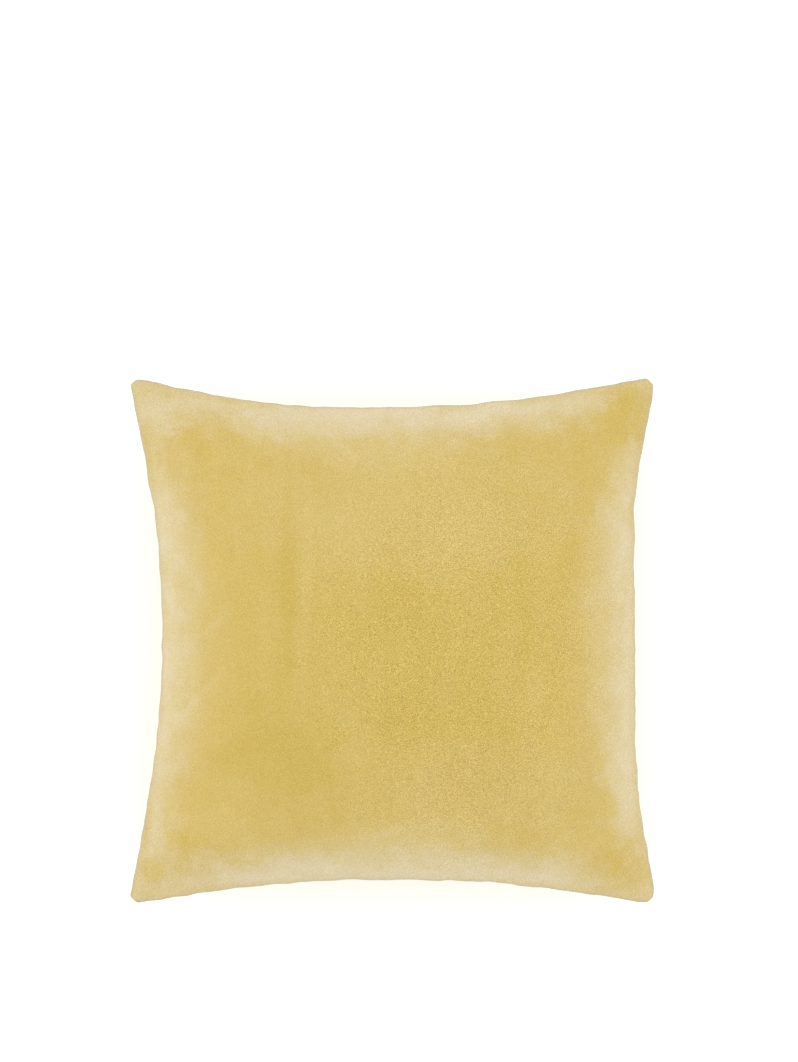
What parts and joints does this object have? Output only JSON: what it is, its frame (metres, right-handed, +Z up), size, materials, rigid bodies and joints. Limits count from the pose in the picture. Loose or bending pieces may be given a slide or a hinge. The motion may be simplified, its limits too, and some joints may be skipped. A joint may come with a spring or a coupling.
{
  "type": "throw pillow",
  "caption": "square velvet throw pillow: knife-edge cover with a concealed zip in the bottom seam, over a fibre-filled insert pad",
  "frame": {"origin": "on the floor under the middle of the outer seam outline, with the pillow lying on its back", "axes": "+Z up out of the front face, +X to the right and +Y to the top edge as seen from the front; the zip is in the -Y seam"},
  "size_m": [0.4387, 0.4387, 0.142],
  "materials": {
    "cover_velvet": "short cut-pile velvet, soft gold yellow, pale sheen at grazing angles",
    "cover_thread": "spun polyester sewing thread, matched to the velvet",
    "overlock_thread": "textured polyester overlock thread",
    "label_satin": "blank white satin ribbon",
    "zip_tape": "woven polyester tape",
    "zip_coil": "coiled nylon monofilament, size 3",
    "zip_stop": "pressed aluminium",
    "zip_slider_metal": "zinc alloy, enamelled to match the cover",
    "zip_pull_metal": "zinc alloy, enamelled to match the cover",
    "insert_nonwoven": "white spun-bonded polypropylene",
    "insert_thread": "white polyester thread",
    "polyester_fibre": "siliconised hollow polyester fibre, loose filled"
  },
  "bodies": {
    "pillow": {"cover_front_panel": "cover_velvet", "cover_back_panel": "cover_velvet", "cover_seam_thread": "cover_thread", "cover_edge_overlock": "overlock_thread", "cover_care_label": "label_satin", "zip_front_tape": "zip_tape", "zip_back_tape": "zip_tape", "zip_front_coil": "zip_coil", "zip_back_coil": "zip_coil", "zip_top_stops": "zip_stop", "zip_bottom_stop": "zip_stop", "zip_front_stitching": "cover_thread", "zip_back_stitching": "cover_thread", "zip_bar_tacks": "cover_thread", "insert_front_case": "insert_nonwoven", "insert_back_case": "insert_nonwoven", "insert_seam_thread": "insert_thread", "insert_edge_overlock": "insert_thread", "insert_closing_stitch": "insert_thread", "insert_label": "label_satin", "fibre_filling": "polyester_fibre"},
    "slider": {"zip_slider": "zip_slider_metal"},
    "pull": {"zip_pull_tab": "zip_pull_metal"}
  },
  "joints": [
    {"name": "zip_travel", "type": "hinge", "parent": "pillow", "child": "slider", "pos_m": [0, -1.6316, 0.066], "axis": [0, 0, 1], "range_deg": [0, 12.31], "deforming": ["zip_front_coil", "zip_back_coil"]},
    {"name": "pull_swing", "type": "hinge", "parent": "slider", "child": "pull", "pos_m": [0.1575, -0.20421, 0.0623], "axis": [0, 0, 1], "range_deg": [0, 150]}
  ]
}
